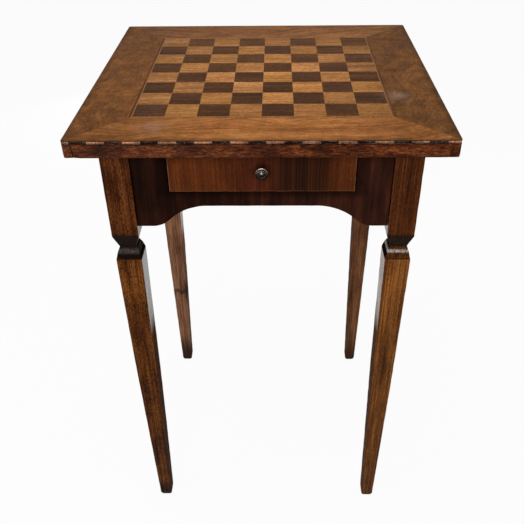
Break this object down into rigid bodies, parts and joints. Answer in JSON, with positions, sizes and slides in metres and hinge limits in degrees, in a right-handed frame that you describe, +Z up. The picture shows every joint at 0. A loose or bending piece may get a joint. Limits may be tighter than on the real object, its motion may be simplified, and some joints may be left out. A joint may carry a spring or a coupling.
{
  "type": "chess table",
  "caption": "Square walnut chess table with an inlaid board, a chequered edge, arched aprons, a frieze drawer and square tapering legs with bevelled necks.",
  "frame": {"origin": "on the floor under the middle of the table", "axes": "+Z up, -Y the way the drawer opens, +X to the right of someone facing the drawer"},
  "size_m": [0.48, 0.48, 0.735],
  "materials": {
    "border_walnut": "worn satin varnish",
    "edge_walnut": "worn satin varnish",
    "line_wood": "satin varnish",
    "light_square_wood": "satin varnish",
    "dark_square_wood": "satin varnish",
    "light_strip_wood": "satin varnish",
    "dark_strip_wood": "satin varnish",
    "leg_walnut": "satin varnish",
    "apron_walnut": "dark satin varnish",
    "drawer_walnut": "satin varnish",
    "carcase_wood": "bare",
    "knob_metal": "dark patina",
    "screw_steel": "dull"
  },
  "bodies": {
    "table": {"top_core": "carcase_wood", "lipping_front": "edge_walnut", "lipping_back": "edge_walnut", "lipping_left": "edge_walnut", "lipping_right": "edge_walnut", "border_front": "border_walnut", "border_back": "border_walnut", "border_left": "border_walnut", "border_right": "border_walnut", "board_lines": "line_wood", "light_squares": "light_square_wood", "dark_squares": "dark_square_wood", "edge_chequer_light": "light_strip_wood", "edge_chequer_dark": "dark_strip_wood", "leg_front_left": "leg_walnut", "leg_front_right": "leg_walnut", "leg_back_left": "leg_walnut", "leg_back_right": "leg_walnut", "front_apron": "apron_walnut", "back_apron": "apron_walnut", "left_apron": "apron_walnut", "right_apron": "apron_walnut", "corner_block_front_left": "carcase_wood", "corner_block_front_right": "carcase_wood", "corner_block_back_left": "carcase_wood", "corner_block_back_right": "carcase_wood", "top_screws": "screw_steel", "drawer_runner_left": "carcase_wood", "drawer_runner_right": "carcase_wood", "drawer_guide_left": "carcase_wood", "drawer_guide_right": "carcase_wood", "drawer_stops": "carcase_wood"},
    "drawer": {"drawer_front": "drawer_walnut", "drawer_side_left": "carcase_wood", "drawer_side_right": "carcase_wood", "drawer_back": "carcase_wood", "drawer_bottom": "carcase_wood", "bottom_nails": "screw_steel", "knob": "knob_metal", "knob_screw": "screw_steel"}
  },
  "joints": [
    {"name": "drawer_slide", "type": "slide", "parent": "table", "child": "drawer", "axis": [0, -1, 0], "range_m": [0, 0.2]}
  ]
}
